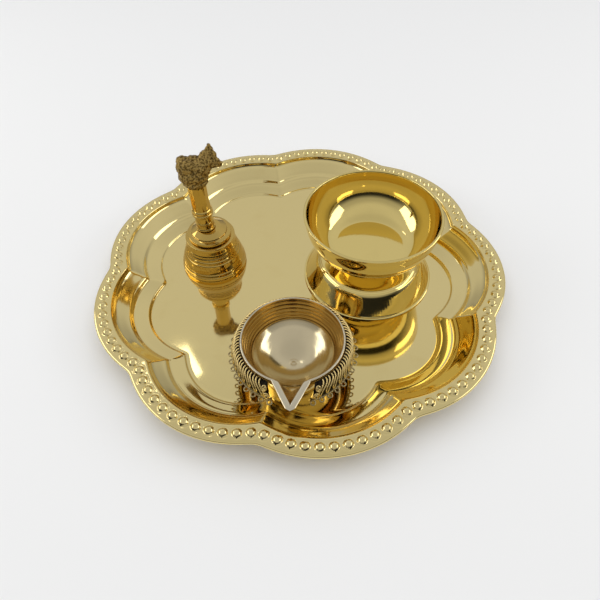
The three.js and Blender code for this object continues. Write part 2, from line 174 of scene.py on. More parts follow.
def rounded(points, radius, steps=4):
    """The same outline with each inner corner replaced by a short curve."""
    out = [points[0]]
    for before, corner, after in zip(points, points[1:], points[2:]):
        at = Vector(corner[:2])
        back = Vector(before[:2]) - at
        ahead = Vector(after[:2]) - at
        reach = min(radius, back.length * 0.45, ahead.length * 0.45)
        start = at + back.normalized() * reach
        end = at + ahead.normalized() * reach
        out += [bent(start, at, end, k / steps) for k in range(steps + 1)]
    return [*out, points[-1]]


def sheet_under(line, thickness):
    """The underside of a sheet whose upper surface is `line`, from the axis outwards."""
    out = []
    for k, point in enumerate(line):
        before = Vector(line[max(k - 1, 0)][:2])
        after = Vector(line[min(k + 1, len(line) - 1)][:2])
        along = (after - before).normalized()
        out.append((max(point[0] + along.y * thickness, 0), point[1] - along.x * thickness))
    out[0] = (0, line[0][1] - thickness)
    return out


def sheet(line, thickness):
    """Closed section of a sheet piece: out along its underside and back over its top."""
    return [*sheet_under(line, thickness), *reversed(line)]


def join_rings(bm, pairs, steps):
    """Faces between pairs of rings of `steps` vertices; a ring of one vertex is a point."""
    for low, high in pairs:
        for k in range(steps):
            n = (k + 1) % steps
            corners = [low[k % len(low)], low[n % len(low)], high[n % len(high)], high[k % len(high)]]
            corners = list(dict.fromkeys(corners))
            if len(corners) > 2:
                bm.faces.new(corners)


def revolved(rows, steps, place):
    """Surface through rows of points round an axis. place(row, angle) gives a vertex in metres."""
    bm = bmesh.new()
    rings = []
    for row in rows:
        count = 1 if row[0] <= 0 else steps
        rings.append([bm.verts.new(place(row, 2 * math.pi * k / steps)) for k in range(count)])
    pairs = list(zip(rings, rings[1:]))
    if len(rings[0]) > 1:
        pairs.append((rings[-1], rings[0]))
    join_rings(bm, pairs, steps)
    return bm


def about(centre, turn=0.0):
    """A place function for a plain turned piece that stands at `centre`."""

    def place(row, angle):
        x = row[0] * math.cos(angle + turn)
        y = row[0] * math.sin(angle + turn)
        return (centre + Vector((x, y, row[1]))) * MM

    return place


def piece(name, bm, body, material, replaces=(), sharp=40):
    """A finished mesh object that rides on a body."""
    mesh = bpy.data.meshes.new(name)
    bm.to_mesh(mesh)
    bm.free()
    mesh.shade_smooth()
    mesh.set_sharp_from_angle(angle=math.radians(sharp))
    mesh.materials.append(material)
    obj = bpy.data.objects.new(name, mesh)
    bpy.context.scene.collection.objects.link(obj)
    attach(obj, body)
    if replaces:
        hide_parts(*replaces)
    return obj


def wires(name, paths, radius, body, material, closed=False):
    """Round wires along lists of points in millimetres, as one curve object."""
    curve = bpy.data.curves.new(name, "CURVE")
    curve.dimensions = "3D"
    curve.bevel_depth = radius * MM
    curve.bevel_resolution = 2
    curve.resolution_u = 2
    curve.use_fill_caps = True
    for path in paths:
        spline = curve.splines.new("POLY")
        spline.points.add(len(path) - 1)
        spline.use_cyclic_u = closed
        spline.use_smooth = True
        for target, point in zip(spline.points, path):
            target.co = (*(Vector(point) * MM), 1)
    curve.materials.append(material)
    obj = bpy.data.objects.new(name, curve)
    bpy.context.scene.collection.objects.link(obj)
    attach(obj, body)
    return obj


# ---- Material helpers ----


class Brass:
    """A metallic material, built up from procedural layers."""

    def __init__(self, name, colour, roughness):
        self.material = bpy.data.materials.new(name)
        self.material.use_nodes = True
        self.nodes = self.material.node_tree.nodes
        self.links = self.material.node_tree.links
        self.shader = self.nodes["Principled BSDF"]
        self.shader.inputs["Metallic"].default_value = 1.0
        self.shader.inputs["Base Color"].default_value = (*colour, 1)
        self.shader.inputs["Roughness"].default_value = roughness
        self.colour = colour
        self.last_bump = None

    def add(self, kind, **settings):
        node = self.nodes.new(kind)
        for key, value in settings.items():
            setattr(node, key, value)
        return node

    def link(self, source, target):
        self.links.new(source, target)

    def coordinates(self):
        return self.add("ShaderNodeTexCoord").outputs["Object"]

    def ring_coordinates(self, centre):
        """(distance from the axis, 0, height): a pattern in it runs round the piece as tool lines do."""
        shift = self.add("ShaderNodeVectorMath", operation="SUBTRACT")
        shift.inputs[1].default_value = centre * MM
        self.link(self.coordinates(), shift.inputs[0])
        split = self.add("ShaderNodeSeparateXYZ")
        self.link(shift.outputs[0], split.inputs[0])
        flat = self.add("ShaderNodeCombineXYZ")
        self.link(split.outputs["X"], flat.inputs["X"])
        self.link(split.outputs["Y"], flat.inputs["Y"])
        length = self.add("ShaderNodeVectorMath", operation="LENGTH")
        self.link(flat.outputs[0], length.inputs[0])
        join = self.add("ShaderNodeCombineXYZ")
        self.link(length.outputs["Value"], join.inputs["X"])
        self.link(split.outputs["Z"], join.inputs["Z"])
        return join.outputs[0]

    def noise(self, vector, scale, detail=3.0, roughness=0.55):
        node = self.add("ShaderNodeTexNoise")
        node.inputs["Scale"].default_value = scale
        node.inputs["Detail"].default_value = detail
        node.inputs["Roughness"].default_value = roughness
        self.link(vector, node.inputs["Vector"])
        return node.outputs["Fac"]

    def ranged(self, value, low, high, to_low, to_high):
        node = self.add("ShaderNodeMapRange")
        node.inputs["From Min"].default_value = low
        node.inputs["From Max"].default_value = high
        node.inputs["To Min"].default_value = to_low
        node.inputs["To Max"].default_value = to_high
        self.link(value, node.inputs["Value"])
        return node.outputs["Result"]

    def bump(self, height, distance, strength=1.0):
        node = self.add("ShaderNodeBump")
        node.inputs["Strength"].default_value = strength
        node.inputs["Distance"].default_value = distance * MM
        self.link(height, node.inputs["Height"])
        if self.last_bump is not None:
            self.link(self.last_bump, node.inputs["Normal"])
        self.last_bump = node.outputs["Normal"]
        self.link(self.last_bump, self.shader.inputs["Normal"])

    def stain(self, factor, colour):
        """Mixes a second colour over the base colour."""
        node = self.add("ShaderNodeMix", data_type="RGBA")
        source = self.shader.inputs["Base Color"]
        if source.is_linked:
            self.link(source.links[0].from_socket, node.inputs["A"])
        else:
            node.inputs["A"].default_value = (*self.colour, 1)
        node.inputs["B"].default_value = (*colour, 1)
        self.link(factor, node.inputs["Factor"])
        self.link(node.outputs["Result"], source)

    def vary_roughness(self, value, low, high):
        self.link(self.ranged(value, 0.3, 0.7, low, high), self.shader.inputs["Roughness"])


def polished_sheet():
    """Mirror-bright rolled sheet: faint waves, hairline scratches and a little handling haze."""
    m = Brass("polished_sheet_brass", (0.85, 0.69, 0.30), 0.06)
    where = m.coordinates()
    m.bump(m.noise(where, 9.0, 1.0), 0.35)
    m.bump(m.noise(where, 28.0, 1.0), 0.12)
    m.bump(m.noise(where, 900.0, 2.0), 0.0015)
    haze = m.noise(where, 70.0, 5.0)
    m.vary_roughness(haze, 0.03, 0.085)
    m.stain(m.ranged(haze, 0.55, 0.8, 0.0, 0.25), (0.74, 0.55, 0.20))
    return m.material


def spun_sheet(name, centre, colour, roughness, line_depth, painted_light_bands=()):
    """Bright metal that was turned or spun: fine rings round the piece's own axis.

    Each band is (from height, to height, colour) of painted light or shade: the metal turns to that colour
    between the two heights.
    """
    m = Brass(name, colour, roughness)
    rings = m.ring_coordinates(centre)
    m.bump(m.noise(m.coordinates(), 40.0, 1.0), 0.05)
    m.bump(m.noise(rings, 1600.0, 2.0), line_depth)
    m.bump(m.noise(rings, 420.0, 3.0), line_depth * 1.5)
    haze = m.noise(m.coordinates(), 90.0, 4.0)
    m.vary_roughness(haze, roughness * 0.8, roughness * 1.35)
    m.stain(m.ranged(haze, 0.55, 0.8, 0.0, 0.3), tuple(c * 0.85 for c in colour))
    # Painted light and shade: each band turns a range of the piece's heights lighter or darker.
    for low, high, painted_tone in painted_light_bands:
        split = m.add("ShaderNodeSeparateXYZ")
        m.link(rings, split.inputs[0])
        m.stain(m.ranged(split.outputs["Z"], low * MM, high * MM, 0.0, 1.0), painted_tone)
    return m.material


def patina_and_painted_shade(name, colour, dark, pit_scale, pits, roughness):
    """Old cast metal, bright where it is rubbed and black in the pits; also the near-black painted shade on
    the sheet behind the lamp's skirt.
    """
    m = Brass(name, colour, roughness)
    where = m.coordinates()
    coarse = m.noise(where, pit_scale, 6.0, 0.65)
    fine = m.noise(where, pit_scale * 3.1, 4.0, 0.6)
    m.stain(m.ranged(coarse, 0.5 - pits, 0.42 - pits, 0.0, 1.0), dark)
    m.stain(m.ranged(fine, 0.42, 0.3, 0.0, 0.8), dark)
    m.bump(coarse, 0.35)
    m.bump(fine, 0.12)
    m.vary_roughness(fine, roughness * 0.7, roughness * 1.4)
    return m.material


TRAY_BRASS = polished_sheet()
CUP_BRASS = spun_sheet("spun_cup_brass", CUP_AT, (0.85, 0.67, 0.24), 0.06, 0.004)
# Painted light on the lamp's brass: from 11.4-12.8 mm up the bowl turns a darker gold-brown, painted shade on
# its upper walls; the top 0.5 mm of the rim turns paler, a painted highlight.
LAMP_BRASS_PAINTED_LIGHT = spun_sheet(
    "turned_lamp_brass_painted_light",
    LAMP_AT,
    (0.72, 0.61, 0.37),
    0.14,
    0.007,
    [(11.4, 12.8, (0.60, 0.41, 0.14)), (LAMP_HEIGHT - 0.5, LAMP_HEIGHT - 0.1, (0.72, 0.64, 0.45))],
)
LAMP_UNDER_BRASS = spun_sheet("turned_foot_brass", LAMP_AT, (0.78, 0.58, 0.20), 0.14, 0.008)
BELL_BRASS = spun_sheet("turned_bell_brass", BELL_AT, (0.62, 0.42, 0.11), 0.07, 0.005)
# Painted shade: a near-black sheet where only shade shows through the skirt's open work.
SKIRT_PAINTED_SHADE = patina_and_painted_shade("skirt_painted_shade", (0.035, 0.028, 0.018), (0.008, 0.007, 0.006), 900.0, 0.0, 0.55)
SKIRT_BRIGHT = spun_sheet("skirt_rubbed_brass", LAMP_AT, (0.76, 0.58, 0.24), 0.22, 0.01)
SKIRT_AGED = spun_sheet("skirt_aged_brass", LAMP_AT, (0.46, 0.37, 0.19), 0.30, 0.01)
CAST_BRASS = patina_and_painted_shade("cast_finial_brass", (0.45, 0.30, 0.09), (0.12, 0.075, 0.02), 1000.0, -0.02, 0.30)


# ---- Tray ----


def arc_half_angle(inset):
    """Half the angle that one lobe's arc spans about its own centre."""
    cusp = math.pi / LOBES
    return cusp + math.asin(LOBE_RING * math.sin(cusp) / (LOBE_RADIUS - inset))


def lobed_radius(turn, inset, softness):
    """Distance from the tray's axis to the lobed line, `turn` away from a lobe's middle."""
    span = math.pi / LOBES
    softened = max(span - math.hypot(span - abs(turn), softness), 0)
    side = LOBE_RING * math.sin(softened)
    return LOBE_RING * math.cos(softened) + math.sqrt((LOBE_RADIUS - inset) ** 2 - side**2)


def bead_rise(share, inset):
    """Height of the pressed beads over the flange, `share` of the way along a lobe's arc."""
    if not BEAD_BAND[0] < inset < BEAD_BAND[1]:
        return 0.0
    number = min(int(share * BEADS_PER_LOBE), BEADS_PER_LOBE - 1)
    middle = ((number + 0.5) / BEADS_PER_LOBE * 2 - 1) * arc_half_angle(BEAD_INSET)
    here = (share * 2 - 1) * arc_half_angle(inset)
    bead = Vector((math.cos(middle), math.sin(middle))) * (LOBE_RADIUS - BEAD_INSET)
    point = Vector((math.cos(here), math.sin(here))) * (LOBE_RADIUS - inset)
    off = (point - bead).length / BEAD_RADIUS
    if off < 1:
        return BEAD_HEIGHT * (1 - off * off) ** 0.52
    return -BEAD_GROOVE_DEPTH * math.exp(-(((off - 1.16) / 0.14) ** 2))


def tray_line():
    """(inset, height) of the tray's upper surface, from the edge of its floor to its rim."""
    floor = TRAY_SHEET
    shelf = floor + 3.0
    step = [
        (FLOOR_INSET, floor),
        (FLOOR_INSET - 0.35, floor + 0.12),
        (FLOOR_INSET - 0.75, floor + 0.75),
        (FLOOR_INSET - 1.1, floor + 1.2),
        (STEP_INSET - 0.1, floor + 1.42),
    ]
    wall = smooth_curve(
        [
            (STEP_INSET - 0.6, floor + 1.5),
            (SHELF_INSET + 1.5, shelf - 0.4),
            (SHELF_INSET - 0.4, shelf + 0.1),
            (SHELF_INSET - 1.3, shelf + 0.95),
            (SHELF_INSET - 2.1, shelf + 1.9),
            (SHELF_INSET - 3.6, shelf + 3.0),
            (FLANGE_WIDTH + 3.4, shelf + 4.6),
            (FLANGE_WIDTH + 1.6, shelf + 6.1),
            (FLANGE_WIDTH + 0.55, TRAY_EDGE - 1.9),
            (FLANGE_WIDTH + 0.1, TRAY_EDGE - 0.6),
        ],
        4,
    )
    lip = [(FLANGE_WIDTH - 0.1, TRAY_EDGE - 0.2), (FLANGE_WIDTH - 0.4, TRAY_EDGE)]
    count = 15
    crown = [
        (7.1 - 5.9 * k / count, TRAY_EDGE + 0.08 * math.sin(math.pi * k / count))
        for k in range(count + 1)
    ]
    edge = [
        (0.9, TRAY_EDGE - 0.03),
        (0.55, TRAY_EDGE - 0.12),
        (0.25, TRAY_EDGE - 0.32),
        (0.06, TRAY_EDGE - 0.6),
        (0.0, TRAY_EDGE - 1.0),
    ]
    return [*step, *wall, *lip, *crown, *edge]


def tray_softness(inset):
    """How far the cusp is rounded: softest at the edge and at the floor, crisp on the wall."""
    edge = max(1 - inset / FLANGE_WIDTH, 0)
    foot = min(max((inset - SHELF_INSET) / (FLOOR_INSET - SHELF_INSET), 0), 1)
    return 0.006 + 0.018 * edge + 0.022 * foot


def tray_rows():
    """(inset, height, share) of each ring, from the middle underneath over the edge to the middle on top.

    The share is how far out from the tray's axis to the lobed line the ring lies.
    """
    line = tray_line()
    beyond = 200
    outwards = [(beyond - inset, height) for inset, height in line]
    under = sheet_under([(0, 0), *outwards], TRAY_SHEET)[1:]
    rows = [(0.0, 0.0, 0.0), *[(FLOOR_INSET, 0.0, share) for share in (0.5, 0.9)]]
    rows += [(max(beyond - reach, 0.0), max(height, 0.0), 1.0) for reach, height in under]
    rows += [(inset, height, 1.0) for inset, height in reversed(line)]
    rows += [(FLOOR_INSET, TRAY_SHEET, share) for share in (0.98, 0.9, 0.6, 0.3)]
    return [*rows, (0.0, TRAY_SHEET, 0.0)]


def tray_point(lobe, along, inset, height, share):
    """A vertex in metres, `along` the arc of one lobe."""
    arc = (along * 2 - 1) * arc_half_angle(inset)
    reach = LOBE_RADIUS - inset
    turn = math.atan2(reach * math.sin(arc), LOBE_RING + reach * math.cos(arc))
    radius = lobed_radius(turn, inset, tray_softness(inset)) * share
    angle = LOBE_TURN + lobe * 2 * math.pi / LOBES + turn
    rise = bead_rise(along, inset) if height > TRAY_EDGE - 1.2 else 0.0
    return Vector((radius * math.cos(angle), radius * math.sin(angle), height + rise)) * MM


def tray_mesh():
    steps = BEADS_PER_LOBE * TRAY_STEPS_PER_BEAD
    places = [(lobe, k / steps) for lobe in range(LOBES) for k in range(steps)]
    bm = bmesh.new()
    rings = []
    for inset, height, share in tray_rows():
        if share == 0.0:
            rings.append([bm.verts.new((0, 0, height * MM))])
            continue
        ring = [tray_point(lobe, along, inset, height, share) for lobe, along in places]
        rings.append([bm.verts.new(at) for at in ring])
    join_rings(bm, zip(rings, rings[1:]), LOBES * steps)
    return bm


piece("tray_beaded_sheet", tray_mesh(), "tray", TRAY_BRASS, ["thali_tray"], sharp=60)


# ---- Pedestal cup ----


def cup_bowl_mesh():
    rim = CUP_HEIGHT
    bottom = rim - CUP_DEPTH
    corner = []
    for k in range(11):
        angle = CUP_CORNER_TURN * k / 10
        across = CUP_FLAT_RADIUS + CUP_CORNER_RADIUS * math.sin(angle)
        corner.append((across, bottom + CUP_CORNER_RADIUS * (1 - math.cos(angle))))
    foot = Vector(corner[-1])
    top = Vector((CUP_RIM_RADIUS - 1.5, rim - 0.9))
    bend = Vector((top.x, foot.y + (top.x - foot.x) * math.tan(CUP_CORNER_TURN)))
    steps = 30
    wall = [bent(foot, bend, top, k / steps) for k in range(1, steps + 1)]
    lip = [
        (CUP_RIM_RADIUS - 1.35, rim - 0.35),
        (CUP_RIM_RADIUS - 1.1, rim - 0.08),
        (CUP_RIM_RADIUS - 0.75, rim),
        (CUP_RIM_RADIUS - 0.35, rim - 0.06),
        (CUP_RIM_RADIUS - 0.05, rim - 0.3),
        (CUP_RIM_RADIUS, rim - 0.7),
        (CUP_RIM_RADIUS - 0.15, rim - 1.15),
    ]
    inside = [(0, bottom), (8, bottom), *corner, *wall]
    under = sheet_under(inside, CUP_BOWL_SHEET)[:-3]
    return revolved([*under, *reversed(lip), *reversed(inside)], CUP_STEPS, about(CUP_AT))


def cup_foot_mesh():
    top = CUP_BOTTOM - CUP_SEAM
    neck = smooth_curve([(14.2, top - 0.4), (14.7, top - 1.6), (16.2, 13.9), (19.6, 12.5), (23.4, 11.6)], 8)
    ridges = []
    for radius, height in ((24.0, 11.4), (24.9, 10.9)):
        ridges += [(radius - 0.12, height - 0.14), (radius + 0.1, height), (radius + 0.32, height - 0.14)]
    flank = smooth_curve([(25.5, 10.4), (26.3, 9.3), (27.9, 6.6), (29.8, 3.5), (31.1, 1.4)], 6)
    lip = [(31.4, 1.05), (31.9, 0.98), (32.25, 0.75)]
    line = [(0, top), (8, top), (13.6, top), *neck, *ridges, *flank, *lip]
    return revolved(sheet(line, CUP_FOOT_SHEET), CUP_STEPS, about(CUP_AT))


piece("cup_spun_bowl", cup_bowl_mesh(), "cup", CUP_BRASS, ["cup_bowl"])
piece("cup_spun_foot", cup_foot_mesh(), "cup", CUP_BRASS, ["cup_foot"])


# ---- Oil lamp ----


def spout_rim(turn, inset):
    """Distance from the lamp's axis to its rim line, `turn` away from the spout's middle.

    An inset of 0 gives the outer edge, and 1 the inner one.
    """
    round_part = LAMP_RIM_RADIUS - inset * LAMP_WALL
    turn = abs(turn)
    if turn > SPOUT_SPREAD:
        return round_part
    thick = inset * SPOUT_WALL
    root = Vector((math.sin(SPOUT_SPREAD), math.cos(SPOUT_SPREAD))) * round_part
    corners = [
        root,
        Vector((SPOUT_HALF_WIDTH - thick, SPOUT_SHOULDER - thick * 0.3)),
        Vector((max(SPOUT_TIP_HALF_WIDTH - thick, 0.35), SPOUT_REACH - 1.2 - thick)),
        Vector((0.0, SPOUT_REACH - thick)),
    ]
    heading = Vector((math.sin(turn), math.cos(turn)))
    for start, end in zip(corners, corners[1:]):
        along = end - start
        edge = math.atan2(end.x, end.y)
        if turn >= edge - 1e-9:
            return max(start.cross(along) / heading.cross(along), round_part)
    return SPOUT_REACH - thick


def lamp_place(row, angle):
    """A row is (radius, height, inset): over the ledge, the section runs out into the spout."""
    radius, height, inset = row
    ledge = LAMP_HEIGHT - LAMP_LEDGE_DROP
    share = min(max((height - ledge) / (LAMP_HEIGHT - 0.6 - ledge), 0), 1)
    turn = (angle + math.pi) % (2 * math.pi) - math.pi
    excess = spout_rim(turn, inset) - LAMP_RIM_RADIUS + inset * LAMP_WALL
    radius += excess * share ** (0.5 if inset > 0 else 0.8)
    heading = -math.pi / 2 + turn + SPOUT_TURN
    at = Vector((radius * math.cos(heading), radius * math.sin(heading), height))
    return (LAMP_AT + at) * MM


def lamp_bowl_mesh():
    rim = LAMP_HEIGHT
    ledge = rim - LAMP_LEDGE_DROP
    lowest = rim - LAMP_DEPTH
    dimple = [(0, 0.3), (0.5, 0.26), (0.8, 0.02), (1.05, 0.0), (1.3, 0.16), (1.7, 0.2), (2.0, 0.13)]
    inside = [(radius, lowest + rise) for radius, rise in dimple]
    for k in range(3, 21):
        angle = LAMP_FLOOR_TURN * k / 20
        rise = LAMP_FLOOR_SPHERE * (1 - math.cos(angle))
        inside.append((LAMP_FLOOR_SPHERE * math.sin(angle), lowest + rise))
    edge = inside[-1]
    slope = smooth_curve(
        [edge, (edge[0] + 2.1, edge[1] + 1.45), (edge[0] + 4.3, edge[1] + 3.2), (LAMP_LEDGE_RADIUS, ledge)], 6
    )
    inside += [*slope[1:], (LAMP_LEDGE_RADIUS + 0.2, ledge + 0.3)]
    steps = 40
    foot = LAMP_LEDGE_RADIUS + 0.45
    head = LAMP_RIM_RADIUS - LAMP_WALL - 0.05
    for k in range(steps + 1):
        t = k / steps
        ripple = 0.16 * abs(math.sin(math.pi * LAMP_WALL_RINGS * t)) * (1 - t**6)
        radius = foot + (head - foot) * t**1.15 - ripple
        inside.append((radius, ledge + 0.6 + (LAMP_LEDGE_DROP - 1.05) * t))
    inner = [(r, z, 1.0) for r, z in inside]
    lip = [
        (LAMP_RIM_RADIUS - LAMP_WALL, rim - 0.3, 1.0),
        (LAMP_RIM_RADIUS - LAMP_WALL * 0.9, rim - 0.06, 0.9),
        (LAMP_RIM_RADIUS - LAMP_WALL * 0.7, rim, 0.7),
        (LAMP_RIM_RADIUS - LAMP_WALL * 0.3, rim - 0.02, 0.3),
        (LAMP_RIM_RADIUS - LAMP_WALL * 0.08, rim - 0.12, 0.08),
        (LAMP_RIM_RADIUS, rim - 0.4, 0.0),
        (LAMP_RIM_RADIUS - 0.02, rim - 1.0, 0.0),
    ]
    low = lowest - LAMP_WALL
    outside = smooth_curve(
        [(0, low), (5.0, low + 0.5), (11.6, low + 3.4), (16.0, low + 6.6), (18.8, ledge + 0.3)], 8
    )
    shoulder = [(19.3 + 2.7 * k / 8, ledge + 1.3 + (LAMP_LEDGE_DROP - 2.5) * k / 8) for k in range(9)]
    outer = [(r, z, 0.0) for r, z in [*outside, *shoulder]]
    return revolved([*outer, *reversed(lip), *reversed(inner)], 480, lamp_place)


def lamp_foot_mesh():
    top = top_of("lamp_foot") - LAMP_AT.z
    section = rounded(
        [
            (10.2, 0.0),
            (14.4, 0.0),
            (14.5, 0.9),
            (13.2, 1.8),
            (12.4, 2.4),
            (11.5, top - 0.9),
            (11.4, top - 1.4),
            (10.0, top - 2.0),
            (10.0, 0.4),
        ],
        0.4,
    )
    return revolved(section, 120, about(LAMP_AT))


piece("lamp_turned_bowl", lamp_bowl_mesh(), "lamp", LAMP_BRASS_PAINTED_LIGHT, ["lamp_bowl"], sharp=50)
piece("lamp_turned_foot", lamp_foot_mesh(), "lamp", LAMP_UNDER_BRASS, ["lamp_foot"])


def skirt_section(share, lift=0.0):
    """(radius, height) on the skirt's outside, from 0 at its top edge to 1 at its lower edge."""
    points = [(radius, LAMP_HEIGHT - drop) for radius, drop in SKIRT_PROFILE]
    scaled = min(max(share, 0), 1) * 3
    k = min(int(scaled), 2)
    ends = [points[0], *points, points[-1]]
    at, slope = between(*(Vector(point) for point in ends[k : k + 4]), scaled - k)
    out = Vector((-slope.y, slope.x)).normalized()
    return at + out * lift


def on_skirt(turn, share, lift=0.0):
    """A point on the skirt, `turn` away from the spout's middle."""
    radius, height = skirt_section(share, lift)
    heading = -math.pi / 2 + turn + SPOUT_TURN
    return LAMP_AT + Vector((radius * math.cos(heading), radius * math.sin(heading), height))


def skirt_opening(share):
    """Half the angle that the skirt leaves open for the spout."""
    return SKIRT_OPENING - math.radians(9) * share


def skirt_band_mesh():
    """A near-black sheet behind the petals, painted shade in the skirt's open work, a C that stops either
    side of the spout.
    """
    columns = 160
    rows = 12
    bm = bmesh.new()
    grid = []
    for j in range(2 * rows + 2):
        back = j > rows
        share = (2 * rows + 1 - j) / rows if back else j / rows
        lift = -1.0 if back else -0.5
        ring = []
        for k in range(columns + 1):
            t = k / columns * 2 - 1
            turn = math.pi + t * (math.pi - skirt_opening(share))
            ring.append(bm.verts.new(on_skirt(turn, share, lift) * MM))
        grid.append(ring)
    for upper, lower in zip(grid, [*grid[1:], grid[0]]):
        for k in range(columns):
            bm.faces.new([upper[k], lower[k], lower[k + 1], upper[k + 1]])
    for k in (0, columns):
        ends = [ring[k] for ring in grid]
        for j in range(rows):
            bm.faces.new([ends[j], ends[j + 1], ends[2 * rows - j], ends[2 * rows + 1 - j]])
    bmesh.ops.recalc_face_normals(bm, faces=bm.faces)
    return bm


def skirt_petals():
    """Long slanted loops that sweep towards the spout, like a row of narrow petals."""
    paths = []
    half = SKIRT_PETALS // 2
    first = SKIRT_OPENING + math.radians(2)
    spread = math.pi - SKIRT_OPENING - math.radians(4)
    for side in (-1, 1):
        for k in range(half):
            middle = first + spread * (k + 0.5) / half
            path = []
            for step in range(29):
                t = step / 28 * 2 - 1
                along = 1 - abs(t) ** 2.4
                across = SKIRT_PETAL_WIDTH * math.copysign(min(1.0, (1 - along) * 2.2) ** 0.5, t)
                sway = math.radians(1.6) * math.sin(2 * math.pi * along)
                turn = middle + across - SKIRT_PETAL_LEAN * (along - 0.5) + sway
                path.append(on_skirt(side * turn, 0.04 + 0.72 * along, -0.14))
            paths.append(path)
    return paths


def skirt_cord(share, twists, sway, phase):
    """One strand of the twisted border."""
    count = twists * 6
    path = []
    for k in range(count + 1):
        t = k / count * 2 - 1
        turn = math.pi + t * (math.pi - skirt_opening(share) - 0.02)
        swing = phase + k / count * twists * 2 * math.pi
        path.append(on_skirt(turn, share + sway * math.sin(swing) * 0.12, sway * math.cos(swing)))
    return path


def skirt_loops():
    """Small rings that hang in a row from the skirt's lower edge."""
    paths = []
    tilt = math.radians(-15)
    round_steps = [2 * math.pi * step / 12 for step in range(12)]
    for k in range(SKIRT_RINGS):
        t = (k + 0.5) / SKIRT_RINGS * 2 - 1
        turn = math.pi + t * (math.pi - skirt_opening(1.0) + 0.02)
        heading = -math.pi / 2 + turn + SPOUT_TURN
        out = Vector((math.cos(heading), math.sin(heading), 0))
        across = Vector((-math.sin(heading), math.cos(heading), 0)) * SKIRT_RING_RADIUS
        down = (out * math.cos(tilt) + Vector((0, 0, 1)) * math.sin(tilt)) * SKIRT_RING_RADIUS
        middle = on_skirt(turn, 0.93) + out * 0.85
        paths.append([middle + across * math.cos(a) + down * math.sin(a) for a in round_steps])
    return paths


def skirt_scrolls():
    """The curls that end the skirt on both sides of the spout."""
    paths = []
    for side in (-1, 1):
        for share, size, start in ((0.34, 0.17, 0.0), (0.72, 0.2, math.pi)):
            path = []
            for step in range(22):
                t = step / 21
                swing = start + t * 3.4 * math.pi
                reach = size * (1 - 0.78 * t)
                turn = skirt_opening(share) + math.radians(4.2) + math.radians(17) * reach * math.cos(swing)
                path.append(on_skirt(side * turn, share + reach * math.sin(swing), -0.1))
            paths.append(path)
    return paths


# Painted shade: the sheet's outward faces above its lower edge are near-black; its inner and lower faces take
# the foot's brass.
skirt_band = piece("lamp_skirt_band", skirt_band_mesh(), "lamp", SKIRT_PAINTED_SHADE, ["lamp_skirt"])
skirt_band.data.materials.append(LAMP_UNDER_BRASS)
for face in skirt_band.data.polygons:
    middle = face.center / MM - LAMP_AT
    outward = face.normal.x * middle.x + face.normal.y * middle.y > 0
    if not outward or middle.z < skirt_section(0.84)[1]:
        face.material_index = 1
strands = [skirt_cord(0.86, 70, 0.24, phase) for phase in (0, math.pi)]
wires("lamp_skirt_petals", skirt_petals(), 0.37, "lamp", SKIRT_BRIGHT)
wires("lamp_skirt_border", strands, 0.3, "lamp", SKIRT_AGED)
wires("lamp_skirt_loops", skirt_loops(), 0.32, "lamp", SKIRT_AGED, closed=True)
wires("lamp_skirt_scrolls", skirt_scrolls(), 0.4, "lamp", SKIRT_BRIGHT)


# ---- Hand bell ----


def bell_dome_mesh():
    body = []
    for radius, height in smooth_curve(BELL_FLARE, 16):
        cuts = [math.exp(-(((height - groove) / GROOVE_WIDTH) ** 2)) for groove in BELL_GROOVES]
        body.append((radius - GROOVE_DEPTH * sum(cuts), height))
    lip = [(14.9, 0.0), (15.5, 0.0), (15.9, 0.45), (16.3, 0.7), (16.6, 0.95), (16.6, 1.3), (16.45, 1.6)]
    crown = rounded(
        [
            (11.9, STEP_FOOT),
            (12.4, STEP_FOOT + 0.35),
            (12.4, STEP_FOOT + 1.75),
            (10.8, STEP_FOOT + 2.0),
            (9.9, STEP_FOOT + 2.15),
            (10.9, STEP_FOOT + 2.9),
            (10.9, STEP_FOOT + 4.3),
            (9.7, STEP_FOOT + 4.6),
            (8.9, STEP_FOOT + 4.7),
            (8.9, STEP_FOOT + 5.5),
            (6.4, CROWN_HEIGHT - 0.25),
            (5.9, CROWN_HEIGHT),
            (2.4, CROWN_HEIGHT),
        ],
        0.25,
    )
    inner = smooth_curve([(2.4, 22.8), (6.4, 22.4), (8.8, 19.4), (10.5, 13.6), (13.0, 5.4), (14.8, 0.1)], 6)
    return revolved([*lip, *body, *crown[1:], *inner], 144, about(BELL_AT))


def leaned(row, angle):
    """Place function for the casting on the bell: off its axis, leaning, and with a faceted shaft."""
    radius, height, facets = row
    part = 2 * math.pi / SHAFT_SIDES
    flat = math.cos(part / 2) / math.cos((angle % part) - part / 2)
    radius *= 1 + (flat / math.cos(part / 2) ** 0.5 - 1) * facets
    shift = HANDLE_OFFSET + (height - CROWN_HEIGHT) * HANDLE_LEAN
    at = Vector((radius * math.cos(angle) - shift, radius * math.sin(angle), height))
    return (BELL_AT + at) * MM


def bell_handle_mesh():
    foot = CROWN_HEIGHT + 0.3
    bead = foot + 8.5
    plain = rounded(
        [
            (0, foot),
            (4.75, foot),
            (4.8, foot + 0.6),
            (4.35, foot + 1.2),
            (4.3, foot + 3.2),
            (4.55, foot + 3.6),
            (4.55, foot + 4.3),
            (4.25, foot + 4.7),
            (4.3, bead - 0.6),
            (5.1, bead),
            (5.2, bead + 1.0),
            (4.7, bead + 1.5),
            (5.1, bead + 2.0),
            (5.0, bead + 3.1),
            (4.5, bead + 3.7),
        ],
        0.3,
    )
    shaft = [(4.5, bead + 4.4), (4.35, bead + 7.0), (4.3, bead + 10.0), (4.45, HANDLE_HEIGHT - 1.0)]
    rows = [(r, z, 0.0) for r, z in plain]
    rows += [(r, z, 1.0) for r, z in shaft]
    rows += [(4.5, HANDLE_HEIGHT, 0.4), (0, HANDLE_HEIGHT, 0.0)]
    return revolved(rows, 120, leaned)


